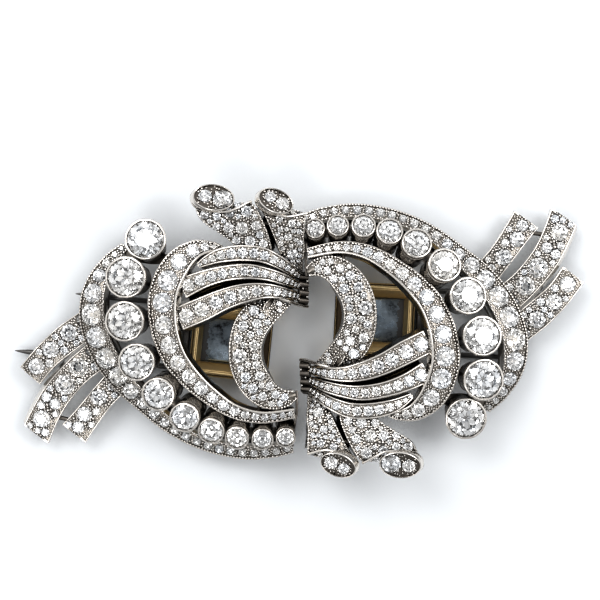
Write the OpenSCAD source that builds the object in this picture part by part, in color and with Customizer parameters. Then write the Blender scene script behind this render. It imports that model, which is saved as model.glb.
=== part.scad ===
// Pair of domed openwork dress clips, lying face up side by side.
// The first clip lies left of the origin. The second is its half-turn copy, turned a little further.
// All lengths are in millimetres. Z = 0 is the surface that the pair rests on.

/* [Pair] */
// Turn of the second clip from the first, in degrees
pair_turn = 183.2; // [182:0.1:184]
// Half the distance between the two clips' own origins, along X
half_x = 0.09; // [0.05:0.01:0.3]
// Half the distance between the two clips' own origins, along Y
half_y = 0.18; // [0:0.01:0.4]
// Shift along X that centres the pair
centre_x = 0.59; // [-2:0.01:2]
// Shift along Y that centres the pair
centre_y = -0.31; // [-2:0.01:2]

/* [Ribbons and bands] */
// Metal below the edge of a pave channel
channel_t = 1.2; // [0.9:0.1:1.6]
// Metal below the edge of a tail
tail_t = 0.95; // [0.8:0.05:1.2]
// Width of the thin polished edge of a channel
edge_w = 0.2; // [0.15:0.01:0.3]
// Depth of the stone seat below the edge
seat_d = 0.45; // [0.3:0.05:0.6]
// Height of the polished rim wire inside the inner band
rim_h = 0.5; // [0.2:0.05:0.8]
// Rise of the crescent's middle above its edges
dome_h = 0.3; // [0:0.05:0.5]

/* [Collets] */
// Wall of a collet at its rim
collet_wall = 0.25; // [0.2:0.01:0.35]
// Foot radius of a collet, as a share of its rim radius
collet_taper = 0.62; // [0.5:0.01:0.75]
// Height of a collet, as a share of its rim radius
collet_tall = 1.3; // [1:0.05:1.5]
// Thickness of the seat bars that carry the collets
bar_t = 0.55; // [0.4:0.05:1]

/* [Stones] */
// Table radius as a share of the girdle radius
table_share = 0.56; // [0.5:0.01:0.65]
// Crown height as a share of the girdle radius
crown_share = 0.32; // [0.25:0.01:0.4]
// Pavilion depth as a share of the girdle radius
pavilion_share = 0.85; // [0.8:0.01:0.9]
// Gap between a stone and the metal round it
stone_gap = 0.08; // [0.05:0.01:0.1]

/* [Clip fitting] */
// Length of the gold frame across the clip
frame_l = 10.2; // [9:0.1:11]
// Width of the gold frame
frame_w = 9.4; // [8:0.1:10]
// Height of the gold frame
frame_h = 3.4; // [3:0.1:4]
// Wall of the gold frame
frame_wall = 1.2; // [1:0.1:1.4]
// Turn of the fitting on the clip, in degrees
fitting_turn = -6; // [-9:0.5:0]
// Radius of the hinge pin
pin_r = 0.35; // [0.3:0.01:0.4]
// Running clearance round the hinge pin
pin_gap = 0.05; // [0.02:0.01:0.08]
// Radius of the hinge knuckles
knuckle_r = 0.8; // [0.7:0.05:0.9]
// Thickness of the lever plate
plate_t = 0.6; // [0.4:0.1:0.8]
// Radius of a prong
prong_r = 0.36; // [0.3:0.01:0.45]
// Length of the sharp end of a prong
prong_point = 2.4; // [1.5:0.1:3]

/* [Hidden] */
CLIPS = ["left", "right"];
STONES = 10;
FIELDS = ["outer_band_stones", "inner_band_stones", "ribbon_stones",
          "crescent_stones", "scroll_stones", "tail_stones"];
FITTINGS = ["clip_frame", "lever", "hinge_pin"];

function stone_name(clip, i) = str(clip, "_stone_", i < 10 ? "0" : "", i);

// Columns of every row below: x, y, height of the top, width, slope down to the right-hand side
OUTER_BAND = [
    [-22.6, 11.2, 3.6, 1.2, 15], [-24.7, 9.0, 4.0, 1.9, 20], [-26.2, 5.8, 4.4, 2.9, 24],
    [-26.5, 2.0, 4.5, 3.4, 26], [-25.2, -2.0, 4.5, 3.4, 26], [-23.0, -5.6, 4.5, 3.1, 26],
    [-20.2, -8.7, 4.4, 2.6, 26], [-16.6, -11.8, 4.3, 2.1, 24], [-12.2, -14.0, 4.2, 1.9, 22],
    [-7.4, -15.0, 4.2, 1.9, 20], [-3.4, -14.8, 4.1, 1.8, 18], [-1.3, -14.2, 4.0, 1.8, 16]
];
INNER_BAND = [
    [-10.0, 10.8, 7.4, 0.8, 4], [-11.6, 11.0, 7.6, 1.6, 8], [-13.6, 10.5, 7.7, 2.6, 12],
    [-15.6, 8.6, 7.8, 3.7, 16], [-17.0, 5.3, 7.9, 3.9, 18], [-17.1, 1.4, 8.0, 3.7, 18],
    [-16.0, -2.2, 8.0, 3.4, 18], [-14.2, -4.9, 8.0, 3.0, 18], [-11.6, -7.5, 7.8, 2.6, 18],
    [-8.5, -9.5, 7.6, 2.1, 16], [-5.0, -10.3, 7.4, 1.7, 12], [-1.0, -9.8, 7.0, 1.4, 8]
];
RIBBON_1 = [
    [-13.0, 8.4, 8.0, 1.2, 0], [-11.7, 9.0, 8.4, 2.2, 0], [-10.0, 9.5, 8.8, 2.8, 0], [-7.6, 9.8, 9.1, 2.8, 0],
    [-5.2, 9.7, 9.2, 2.6, 0], [-3.2, 9.0, 8.7, 2.1, 0], [-1.5, 8.0, 7.4, 1.7, 0],
    [-0.3, 7.2, 5.4, 1.2, 0]
];
RIBBON_2 = [
    [-14.4, 6.1, 8.2, 2.7, 0], [-12.3, 7.0, 8.8, 2.4, 0], [-9.6, 7.7, 9.2, 2.1, 0],
    [-6.8, 7.9, 9.4, 1.9, 0], [-4.2, 7.5, 9.0, 1.6, 0], [-2.0, 6.8, 7.9, 1.4, 0],
    [-0.3, 6.1, 5.4, 1.0, 0]
];
RIBBON_3 = [
    [-14.9, 2.2, 8.2, 3.0, 0], [-12.5, 3.2, 8.8, 3.0, 0], [-9.8, 4.4, 9.2, 2.7, 0],
    [-7.2, 5.2, 9.3, 2.4, 0], [-4.6, 5.5, 9.0, 1.9, 0], [-2.2, 5.2, 7.9, 1.5, 0],
    [-0.4, 4.8, 5.4, 1.1, 0]
];
CRESCENT = [
    [-1.4, 5.0, 5.4, 1.8, 0], [-3.3, 4.1, 6.6, 3.4, 0], [-5.1, 2.8, 7.5, 4.1, 0],
    [-6.5, 0.9, 8.1, 4.2, 0], [-7.1, -1.4, 8.3, 4.1, 0], [-6.9, -3.9, 8.2, 4.1, 0],
    [-5.8, -6.1, 8.0, 4.0, 0], [-4.2, -7.6, 7.6, 3.4, 0], [-2.4, -8.0, 7.2, 2.4, 0],
    [-0.9, -7.5, 6.8, 1.2, 0]
];
SCROLL_A = [
    [-10.5, 15.6, 9.2, 5.6, 0], [-9.3, 14.7, 9.2, 6.4, 0], [-8.0, 13.2, 9.0, 5.9, 0],
    [-7.0, 11.7, 8.6, 5.0, 0], [-6.3, 10.4, 8.3, 4.4, 0], [-6.0, 9.5, 8.1, 4.0, 0]
];
SCROLL_B = [
    [-2.9, 15.9, 9.2, 4.8, 0], [-2.0, 14.4, 9.0, 4.9, 0], [-1.7, 12.5, 8.4, 3.9, 0],
    [-1.4, 10.8, 7.6, 3.5, 0], [-1.2, 9.3, 6.4, 2.6, 0], [-0.6, 7.7, 5.0, 1.4, 0]
];
TAIL_A = [
    [-27.2, 1.5, 3.0, 3.6, 0], [-29.9, -0.5, 3.7, 3.7, 0], [-32.6, -2.8, 3.5, 3.4, 0],
    [-34.8, -5.3, 2.8, 3.4, 0]
];
TAIL_B = [
    [-25.8, -2.4, 3.0, 3.9, 0], [-28.6, -4.7, 3.6, 3.6, 0], [-31.2, -7.6, 3.4, 3.6, 0],
    [-32.9, -10.4, 2.9, 3.7, 0], [-33.9, -12.7, 2.5, 3.9, 0]
];
TAIL_C = [
    [-23.6, -6.0, 3.0, 3.4, 0], [-25.6, -8.2, 3.4, 3.2, 0], [-27.6, -10.7, 3.0, 3.4, 0],
    [-29.2, -12.7, 2.6, 3.8, 0]
];
// Columns: x, y, height of the rim, rim radius, outward lean
COLLETS = [
    [-19.7, 12.0, 7.0, 2.6, 10], [-22.1, 7.2, 7.8, 2.6, 14], [-22.2, 1.7, 8.2, 2.5, 16],
    [-20.7, -3.4, 8.3, 2.35, 18], [-18.0, -7.4, 8.3, 2.05, 18], [-14.7, -10.3, 8.1, 1.8, 18],
    [-11.4, -12.0, 7.8, 1.55, 18], [-8.2, -12.9, 7.6, 1.45, 18], [-5.0, -13.1, 7.3, 1.3, 16],
    [-2.1, -12.9, 7.0, 1.2, 14]
];
// Columns: x, y, height of the top, half length, half width, turn of the long side
CURLS = [[-10.9, 16.8, 10.0, 2.5, 1.6, -8], [-3.3, 16.4, 9.9, 2.2, 1.3, -28]];
// Columns: x, y of the posts between the fitting and the front, height of their tops
POSTS = [[-13.5, 3.2, 7.5], [-4.5, 2.9, 6.7], [-13.7, -5.2, 7.3], [-5.2, -5.9, 7.1]];
// Columns: x, y, z of one end and of the other, of the struts between crescent, band and scrolls
JOINS = [
    [-5.2, -8.2, 6.9, -5.6, -10.0, 6.6], [-2.4, -8.4, 6.4, -2.4, -9.8, 6.4],
    [-5.6, 14.2, 8.3, -4.0, 13.8, 8.2]
];
// Stones along each ribbon; the crescent and the scrolls have two lanes
OUTER_COUNT = 16;
INNER_COUNT = 16;
RIBBON_COUNTS = [6, 7, 7];
CRESCENT_COUNT = 6;
SCROLL_COUNTS = [2, 3];
TAIL_COUNTS = [4, 4, 3];
// Reach of the two prongs beyond the fitting's centre, for each clip
PRONG_REACH = [[20.6, 27.6], [17.8, 23.6]];

// Centre of the clip fitting
fitting_x = -9.1;
fitting_y = -1.0;
// Hinge axis, with the knuckles just above the surface
hinge_x = frame_l / 2 - knuckle_r;
hinge_z = knuckle_r + 0.02;
// Side walls of the frame, and the slot under its end wall that the lever passes through
side_wall = 1.5;
window_w = frame_w - 2 * side_wall;
slot_h = 1.4;
// Room left round parts that move
free_gap = 0.3;
plate_w = window_w - 2 * (free_gap + 0.1);
plate_z = 0.45;
barrel_y = plate_w / 2;
// Crossbar between the two prongs, and the prongs' own axes
cross_l = 1.5;
prong_y = 4.05;
prong_z = 1.15;
prong_tip = 0.06;
// Posts, folded ribbon ends and curls
post_r = 0.5;
gather_z = 3.4;
gather_h = 2.1;
gather_y = [4.5, 7.6];
curl_tilt = -20;
// Place and radius of a curl's two stones, as shares of its half length
curl_stone_at = 0.42;
curl_stone_r = 0.36;
// Height of a small stone's side below its crown
melee_side = 0.25;
// Sides of stones, collets, curls and posts
FACETS = 8;
COLLET_SIDES = 10;
CURL_SIDES = 12;
POST_SIDES = 6;

function unit(v) = v / norm(v);

// Row on the smooth curve through the rows, at p counted in rows
function row_at(rows, p) =
    let (i = max(0, min(floor(p), len(rows) - 2)), t = p - i,
         a = rows[max(i - 1, 0)], b = rows[i], c = rows[i + 1], d = rows[min(i + 2, len(rows) - 1)])
    (2 * b + (c - a) * t + (2 * a - 5 * b + 4 * c - d) * t * t
        + (3 * b - a - 3 * c + d) * t * t * t) / 2;

function place_at(rows, p) = let (r = row_at(rows, p)) [r[0], r[1], r[2]];

// Direction of travel at p
function ahead(rows, p) =
    let (step = 0.02, last = len(rows) - 1)
    unit(place_at(rows, min(p + step, last)) - place_at(rows, max(p - step, 0)));

// Axes at p: right-hand side, travel, and the surface's upward normal
function axes_at(rows, p) =
    let (t = ahead(rows, p), side = unit(cross(t, [0, 0, 1])), up = cross(side, t), a = row_at(rows, p)[4])
    [side * cos(a) - up * sin(a), t, up * cos(a) + side * sin(a)];

// Cosine that turns a polygon's corner radius into its flat's distance
function flat(sides) = cos(180 / sides);

// Closed skin through rings of equal length
module skin(rings) {
    n = len(rings[0]);
    last = len(rings) - 1;
    sides = [for (i = [0 : last - 1], j = [0 : n - 1], k = [0, 1])
        let (a = i * n + j, b = i * n + (j + 1) % n)
        k == 0 ? [a, b, b + n] : [a, b + n, a + n]];
    polyhedron(
        points = [for (ring = rings) each ring],
        faces = concat(sides, [[for (j = [n - 1 : -1 : 0]) j]], [[for (j = [0 : n - 1]) last * n + j]]),
        convexity = 6);
}

// Ribbon through the rows. A section point is [share of the half width, inset, height]
module ribbon(rows, section, steps) {
    skin([for (i = [0 : steps])
        let (p = i * (len(rows) - 1) / steps, axes = axes_at(rows, p), half = row_at(rows, p)[3] / 2)
        [for (s = section) place_at(rows, p) + axes[0] * (s[0] * (half - s[1])) + axes[2] * s[2]]]);
}

// Channel with thin edges. rim raises the left-hand edge, dome the floor's middle
function channel(rim = 0, dome = 0, t = channel_t) = [
    [-1, 0, -t], [1, 0, -t], [1, 0, 0], [1, edge_w, 0], [1, edge_w, -seat_d],
    if (dome > 0) [0, 0, dome - seat_d],
    [-1, edge_w, -seat_d], [-1, edge_w, rim], [-1, 0, rim]
];

// Running length along the rows, in local widths: [measure, p]
function measure(rows, n = 60) =
    [for (i = 0, m = 0; i <= n;
        i = i + 1,
        m = m + norm(place_at(rows, i * (len(rows) - 1) / n) - place_at(rows, (i - 1) * (len(rows) - 1) / n))
            / row_at(rows, (i - 0.5) * (len(rows) - 1) / n)[3])
        [m, i * (len(rows) - 1) / n]];

// Draws the children count times along the open share of the rows, passing the stone radius in $r
module along(rows, count, lanes = 1, share = [0, 1]) {
    table = measure(rows);
    total = table[len(table) - 1][0];
    pitch = total * (share[1] - share[0]) / count;
    for (i = [0 : count - 1], lane = [0 : lanes - 1]) {
        p = lookup(total * share[0] + (i + 0.5) * pitch, table);
        row = row_at(rows, p);
        axes = axes_at(rows, p);
        room = (row[3] / 2 - edge_w) / lanes;
        off = (lane - (lanes - 1) / 2) * 2 * (room - stone_gap);
        at = place_at(rows, p) + axes[0] * off;
        $r = min(room - 2 * stone_gap, pitch * row[3] / 2) - stone_gap;
        multmatrix([for (k = [0 : 2]) [axes[0][k], axes[1][k], axes[2][k], at[k]]]) children();
    }
}

// Crown of a small stone, resting just above its seat
module melee(r = $r, lift = 0) {
    base = 2.5 * stone_gap - seat_d + lift;
    translate([0, 0, base])
        hull() rotate_extrude($fn = FACETS)
            polygon([[0, 0], [r, 0], [table_share * r, crown_share * r + melee_side],
                     [0, crown_share * r + melee_side]]);
}

// Whole brilliant with table, crown, girdle and pavilion; Z = 0 is the girdle's top
module brilliant(r) {
    girdle = 0.05 * r;
    hull() rotate_extrude($fn = FACETS)
        polygon([[0, crown_share * r], [table_share * r, crown_share * r], [r, 0], [r, -girdle],
                 [0, -girdle - pavilion_share * r]]);
}

// Outward direction of the collet row at collet i
function outward(i) =
    let (a = COLLETS[max(i - 1, 0)], b = COLLETS[min(i + 1, STONES - 1)])
    atan2(b[0] - a[0], -(b[1] - a[1])) + 180;

// Moves children to collet i, with Z = 0 at its rim and leaning outward
module at_collet(i) {
    c = COLLETS[i];
    translate([c[0], c[1], c[2]]) rotate([0, 0, outward(i)]) rotate([0, c[4], 0]) children();
}

module collet(i) {
    r = COLLETS[i][3];
    h = collet_tall * r;
    at_collet(i) rotate_extrude($fn = COLLET_SIDES)
        polygon([[collet_taper * r, -h], [r, 0], [r - collet_wall, 0], [collet_taper * r - collet_wall, -h]]);
}

// Point inside a band's wall nearest to collet i, on the band's side given as 1 or -1
function root_on(rows, i, side) =
    let (c = [COLLETS[i][0], COLLETS[i][1]],
         gaps = [for (p = [0 : 0.05 : len(rows) - 1]) let (r = row_at(rows, p)) [norm([r[0], r[1]] - c), p]],
         least = min([for (g = gaps) g[0]]),
         p = [for (g = gaps) if (g[0] == least) g[1]][0], axes = axes_at(rows, p))
    place_at(rows, p) + axes[0] * side * (row_at(rows, p)[3] - bar_t) / 2 - axes[2] * (channel_t - bar_t / 2);

// Strut between two points
module strut(from, to, d) {
    hull() for (p = [from, to]) translate(p) cube(d, center = true);
}

// Bars under collet i, from its foot to the outer band and to the inner one
module seat_bars(i) {
    c = COLLETS[i];
    back = collet_tall * c[3] * 0.95;
    foot = [c[0], c[1], c[2]] - back * [sin(c[4]) * cos(outward(i)), sin(c[4]) * sin(outward(i)), cos(c[4])];
    strut(foot, root_on(OUTER_BAND, i, -1), bar_t);
    strut(foot, root_on(INNER_BAND, i, 1), bar_t);
}

// Folded end where the three fan ribbons are gathered
module gather() {
    hull() for (y = gather_y) translate([0, y, gather_z])
        cylinder(h = gather_h, r = post_r, $fn = CURL_SIDES);
}

// Moves children to a curl, with Z = 0 at its rim
module at_curl(c) {
    translate([c[0], c[1], c[2]]) rotate([0, 0, c[5]]) rotate([curl_tilt, 0, 0]) children();
}

// Rolled end of a scroll
module curl(c) {
    at_curl(c) difference() {
        scale([c[3], c[4], 1]) translate([0, 0, -channel_t])
            cylinder(h = channel_t, r = 1, $fn = CURL_SIDES);
        scale([c[3] - edge_w, c[4] - edge_w, 1]) translate([0, 0, -seat_d])
            cylinder(h = 2 * seat_d, r = 1, $fn = CURL_SIDES);
    }
}

module setting() color("gainsboro") {
    ribbon(OUTER_BAND, channel(), 19);
    ribbon(INNER_BAND, channel(rim = rim_h), 20);
    for (rows = [RIBBON_1, RIBBON_2, RIBBON_3]) ribbon(rows, channel(), 8);
    ribbon(CRESCENT, channel(dome = dome_h), 10);
    for (rows = [SCROLL_A, SCROLL_B]) ribbon(rows, channel(), 5);
    for (c = CURLS) curl(c);
    for (rows = [TAIL_A, TAIL_B, TAIL_C]) ribbon(rows, channel(t = tail_t), 4);
    for (i = [0 : STONES - 1]) {
        collet(i);
        seat_bars(i);
    }
    gather();
    for (j = JOINS) strut([j[0], j[1], j[2]], [j[3], j[4], j[5]], bar_t);
    for (p = POSTS) translate([p[0], p[1], frame_h + stone_gap])
        cylinder(h = p[2] - frame_h - stone_gap, r = post_r, $fn = POST_SIDES);
}

module main_stone(i) color("aliceblue") {
    r = (COLLETS[i][3] - collet_wall) * flat(COLLET_SIDES);
    at_collet(i) translate([0, 0, -stone_gap]) brilliant(r - 2 * stone_gap);
}

module outer_band_stones() color("aliceblue") along(OUTER_BAND, OUTER_COUNT, share = [0.03, 1]) melee();
module inner_band_stones() color("aliceblue") along(INNER_BAND, INNER_COUNT, share = [0.05, 1]) melee();
module ribbon_stones() color("aliceblue") {
    along(RIBBON_1, RIBBON_COUNTS[0], share = [0.26, 0.95]) melee();
    along(RIBBON_2, RIBBON_COUNTS[1], share = [0.04, 0.95]) melee();
    along(RIBBON_3, RIBBON_COUNTS[2], share = [0.04, 0.95]) melee();
}
module crescent_stones() color("aliceblue")
    along(CRESCENT, CRESCENT_COUNT, lanes = 2, share = [0.2, 0.92]) melee(lift = dome_h);
module scroll_stones() color("aliceblue") {
    along(SCROLL_A, SCROLL_COUNTS[0], lanes = 2, share = [0.3, 0.6]) melee();
    along(SCROLL_B, SCROLL_COUNTS[1], lanes = 2, share = [0.14, 0.66]) melee();
    for (c = CURLS, s = [-1, 1])
        at_curl(c) translate([s * c[3] * curl_stone_at, 0, 0]) melee(r = c[3] * curl_stone_r);
}
module tail_stones() color("aliceblue") {
    for (k = [0 : 2]) along([TAIL_A, TAIL_B, TAIL_C][k], TAIL_COUNTS[k], share = [0.18, 1]) melee();
}

// Moves children into the fitting's own axes, with the prongs pointing along -X
module at_fitting() translate([fitting_x, fitting_y, 0]) rotate([0, 0, fitting_turn]) children();

// Cylinder along Y from y0 to y1 round the hinge axis
module on_axis(r, y0, y1) {
    translate([hinge_x, y0, hinge_z]) rotate([-90, 0, 0]) cylinder(h = y1 - y0, r = r, $fn = 32);
}

module clip_frame() color("goldenrod") at_fitting() difference() {
    union() {
        translate([-frame_l / 2, -frame_w / 2, 0]) cube([frame_l, frame_w, frame_h]);
        on_axis(knuckle_r, -frame_w / 2, frame_w / 2);
    }
    translate([frame_wall - frame_l / 2, -window_w / 2, -1])
        cube([frame_l - 2 * frame_wall, window_w, frame_h + 2]);
    translate([-frame_l, -window_w / 2, -1]) cube([frame_l, window_w, slot_h + 1]);
    translate([hinge_x - knuckle_r - free_gap, -barrel_y - free_gap, -1])
        cube([frame_l, 2 * (barrel_y + free_gap), hinge_z + knuckle_r + free_gap + 1]);
    on_axis(pin_r + pin_gap, -frame_w, frame_w);
}

module prong(side, reach) {
    root_x = -frame_l / 2 - free_gap - cross_l / 2;
    translate([root_x, side * prong_y, prong_z]) rotate([0, -90, 0]) {
        cylinder(h = reach + root_x - prong_point, r = prong_r, $fn = 24);
        translate([0, 0, reach + root_x - prong_point])
            cylinder(h = prong_point, r1 = prong_r, r2 = prong_tip, $fn = 24);
    }
}

module lever(k) color("darkslategray") at_fitting() {
    difference() {
        union() {
            translate([-frame_l / 2 - free_gap - cross_l / 2, -plate_w / 2, plate_z])
                cube([frame_l / 2 + free_gap + cross_l / 2 + hinge_x, plate_w, plate_t]);
            on_axis(knuckle_r, -barrel_y, barrel_y);
        }
        on_axis(pin_r + pin_gap, -frame_w, frame_w);
    }
    translate([-frame_l / 2 - free_gap - cross_l, -prong_y - prong_r, plate_z])
        cube([cross_l, 2 * (prong_y + prong_r), prong_z + prong_r - plate_z]);
    prong(1, PRONG_REACH[k][0]);
    prong(-1, PRONG_REACH[k][1]);
}

module hinge_pin() color("silver") at_fitting() on_axis(pin_r, -frame_w / 2, frame_w / 2);

// Moves children to clip k
module on_clip(k)
    translate([centre_x + (2 * k - 1) * half_x, centre_y + (2 * k - 1) * half_y, 0])
        rotate([0, 0, k * pair_turn]) children();

for (k = [0, 1]) {
    clip = CLIPS[k];
    on_clip(k) setting();
    for (i = [0 : STONES - 1])
        on_clip(k) main_stone(i);
    on_clip(k) outer_band_stones();
    on_clip(k) inner_band_stones();
    on_clip(k) ribbon_stones();
    on_clip(k) crescent_stones();
    on_clip(k) scroll_stones();
    on_clip(k) tail_stones();
    on_clip(k) clip_frame();
    on_clip(k) lever(k);
    on_clip(k) hinge_pin();
}
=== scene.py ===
"""Looks of the pair of dress clips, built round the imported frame.

Lengths are in millimetres in each clip's own frame, as in the part's source, until place() puts a piece in
the pair's frame in metres. The second clip is the first one turned by PAIR_TURN degrees.
"""
import math
import random

import bpy
import numpy as np
from mathutils import Matrix, Vector


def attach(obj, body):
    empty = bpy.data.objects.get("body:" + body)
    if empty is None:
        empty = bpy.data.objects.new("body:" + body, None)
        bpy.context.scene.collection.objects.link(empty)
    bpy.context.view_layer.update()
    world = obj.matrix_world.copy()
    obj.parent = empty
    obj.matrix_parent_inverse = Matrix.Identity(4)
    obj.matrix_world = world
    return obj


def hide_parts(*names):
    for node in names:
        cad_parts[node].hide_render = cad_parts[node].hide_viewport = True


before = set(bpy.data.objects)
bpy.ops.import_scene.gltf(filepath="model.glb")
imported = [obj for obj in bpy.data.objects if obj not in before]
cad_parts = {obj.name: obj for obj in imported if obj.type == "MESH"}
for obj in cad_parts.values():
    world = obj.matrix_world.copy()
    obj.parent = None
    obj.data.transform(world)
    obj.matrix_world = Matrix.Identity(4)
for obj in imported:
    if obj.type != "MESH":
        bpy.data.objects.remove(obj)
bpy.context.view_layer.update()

MM = 0.001
CLIPS = ("left", "right")
PAIR_TURN = 183.2
SHIFTS = ((0.50, -0.49), (0.68, -0.13))
FRONTS = "fronts"
# Angle in degrees above which a metal edge is sharp
SHARP = 38

# Columns: x, y, height of the top, width, slope down to the right-hand side
OUTER_BAND = (
    (-22.6, 11.2, 3.6, 1.2, 15), (-24.8, 9.0, 4.0, 2.1, 20), (-26.4, 5.8, 4.4, 3.2, 24),
    (-26.7, 2.0, 4.5, 3.75, 26), (-25.4, -2.1, 4.5, 3.75, 26), (-23.1, -5.7, 4.5, 3.3, 26),
    (-20.2, -8.7, 4.4, 2.6, 26), (-16.6, -11.8, 4.3, 2.1, 24), (-12.2, -14.0, 4.2, 1.9, 22),
    (-7.4, -15.0, 4.2, 1.9, 20), (-3.4, -14.8, 4.1, 1.8, 18), (-1.3, -14.2, 4.0, 1.8, 16))
INNER_BAND = (
    (-10.0, 10.8, 7.4, 0.8, 4), (-11.6, 11.0, 7.6, 1.6, 8), (-13.7, 10.5, 7.7, 2.7, 12),
    (-15.8, 8.6, 7.8, 3.8, 16), (-17.3, 5.3, 7.9, 4.1, 18), (-17.35, 1.4, 8.0, 3.9, 18),
    (-16.2, -2.3, 8.0, 3.5, 18), (-14.3, -5.0, 8.0, 3.1, 18), (-11.6, -7.5, 7.8, 2.6, 18),
    (-8.5, -9.5, 7.6, 2.1, 16), (-5.0, -10.3, 7.4, 1.7, 12), (-1.0, -9.8, 7.0, 1.4, 8))
# Columns: x, y, height of the top, width
RIBBON_1 = (
    (-13.0, 8.65, 8.0, 0.8), (-11.7, 9.35, 8.4, 1.4), (-10.0, 9.93, 8.8, 1.85), (-7.6, 10.2, 9.1, 2.0),
    (-5.2, 10.0, 9.2, 1.95), (-3.2, 9.2, 8.7, 1.7), (-1.5, 8.15, 7.4, 1.4), (-0.3, 7.25, 5.4, 1.0))
RIBBON_2 = (
    (-15.0, 5.8, 8.1, 2.6), (-12.3, 6.95, 8.8, 2.2), (-9.6, 7.65, 9.2, 1.95), (-6.8, 7.9, 9.4, 1.9),
    (-4.2, 7.5, 9.0, 1.6), (-2.0, 6.8, 7.9, 1.4), (-0.3, 6.1, 5.4, 1.0))
RIBBON_3 = (
    (-15.4, 2.0, 8.1, 3.0), (-12.5, 3.2, 8.8, 3.0), (-9.8, 4.4, 9.2, 2.7), (-7.2, 5.2, 9.3, 2.4),
    (-4.6, 5.5, 9.0, 1.9), (-2.2, 5.2, 7.9, 1.5), (-0.4, 4.8, 5.4, 1.1))
CRESCENT = (
    (-1.4, 5.0, 5.4, 1.8), (-3.3, 4.1, 6.6, 3.4), (-5.1, 2.8, 7.5, 4.1), (-6.5, 0.9, 8.1, 4.2),
    (-7.1, -1.4, 8.3, 4.1), (-6.9, -3.9, 8.2, 4.1), (-5.8, -6.1, 8.0, 4.0), (-4.2, -7.6, 7.6, 3.4),
    (-2.4, -8.0, 7.2, 2.4), (-0.9, -7.5, 6.8, 1.2))
TAIL_A = (
    (-27.2, 1.5, 3.0, 3.6), (-29.9, -0.5, 3.7, 3.7), (-32.6, -2.8, 3.5, 3.4), (-34.8, -5.3, 2.8, 3.4))
TAIL_C = (
    (-23.6, -6.0, 3.0, 3.4), (-25.6, -8.2, 3.4, 3.2), (-27.6, -10.7, 3.0, 3.4), (-29.2, -12.7, 2.6, 3.8))
# Columns: x, y of the left-hand edge, x, y of the right-hand edge, height
TAIL_B = (
    (-24.56, -3.9, -27.05, -0.9, 3.0), (-27.35, -6.0, -29.85, -3.4, 3.6), (-29.75, -8.7, -32.65, -6.5, 3.4),
    (-31.3, -11.3, -34.5, -9.5, 2.9), (-32.5, -14.0, -35.6, -11.6, 2.5))
SCROLL_A = (
    (-6.4, 16.5, -13.3, 15.8, 8.9), (-5.7, 15.7, -12.7, 14.5, 9.3), (-5.0, 14.4, -11.6, 13.5, 9.2),
    (-4.3, 12.7, -10.2, 12.6, 8.8), (-3.9, 11.3, -8.8, 11.5, 8.4), (-3.8, 10.2, -8.0, 10.5, 8.0))
SCROLL_B = (
    (0.4, 15.2, -5.4, 16.4, 8.8), (0.35, 13.9, -4.4, 14.2, 9.1), (0.2, 12.2, -3.4, 11.8, 8.4),
    (0.3, 10.8, -2.8, 10.2, 7.6), (0.1, 9.2, -2.2, 8.9, 6.4), (0.0, 7.9, -1.2, 7.6, 5.0))
# Places of single stones, columns: x, y, radius
CRESCENT_STONES = (
    (-3.04, 3.75, 0.42), (-4.0, 2.5, 0.52), (-6.1, 3.0, 0.68), (-7.4, 1.1, 0.68),
    (-5.72, 1.35, 0.64), (-7.95, -0.45, 0.54), (-6.45, 0.0, 0.48), (-6.0, -1.3, 0.7), (-7.8, -2.6, 0.92),
    (-5.85, -2.7, 0.46), (-5.75, -3.75, 0.54), (-7.7, -4.15, 0.44), (-7.1, -5.2, 0.66), (-5.3, -5.1, 0.66),
    (-6.2, -6.65, 0.66), (-4.1, -6.4, 0.58), (-5.0, -7.65, 0.58), (-3.4, -7.45, 0.55), (-3.9, -8.6, 0.42),
    (-2.3, -7.8, 0.5))
# Circle without stones at the crescent's lower tip
TIP_ROOM = (-1.3, -7.7, 0.6)
# Fold in the crescent: x, y and turn of its long side, points on the edge beside it, circles without stones
NOTCH = (-4.35, 3.8, 51)
NOTCH_EDGE = ((-3.96, 4.6), (-4.5, 4.12), (-4.88, 3.55), (-4.97, 3.0))
NOTCH_ROOM = ((-4.8, 3.25, 0.3), (-4.4, 3.8, 0.36), (-4.0, 4.35, 0.36))
SCROLL_A_STONES = (
    (-12.1, 14.9, 0.6), (-10.6, 14.7, 0.55), (-9.0, 15.1, 0.62), (-6.9, 15.3, 0.74), (-7.5, 13.35, 0.8),
    (-9.15, 13.4, 0.66), (-5.75, 13.6, 0.62), (-6.5, 11.75, 0.68), (-4.85, 11.4, 0.56),
    (-8.2, 11.8, 0.52))
SCROLL_B_STONES = (
    (-1.3, 13.9, 0.52), (-2.85, 14.35, 0.5), (-2.75, 13.2, 0.36), (-0.4, 12.9, 0.36), (-1.8, 12.3, 0.5),
    (-1.25, 10.3, 0.7), (-0.3, 11.5, 0.36), (-2.7, 11.4, 0.36), (-0.9, 8.9, 0.4))
TAIL_A_STONES = ((-29.7, 0.15, 1.12), (-32.0, -1.95, 1.08), (-33.9, -4.1, 1.06))
TAIL_B_STONES = (
    (-28.5, -4.2, 1.25), (-30.2, -6.4, 1.32), (-32.6, -8.0, 0.72), (-31.5, -8.9, 0.8), (-33.3, -10.8, 1.12))
TAIL_C_STONES = ((-25.9, -8.0, 1.15), (-27.8, -10.2, 1.0), (-28.6, -11.9, 0.78))
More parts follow.
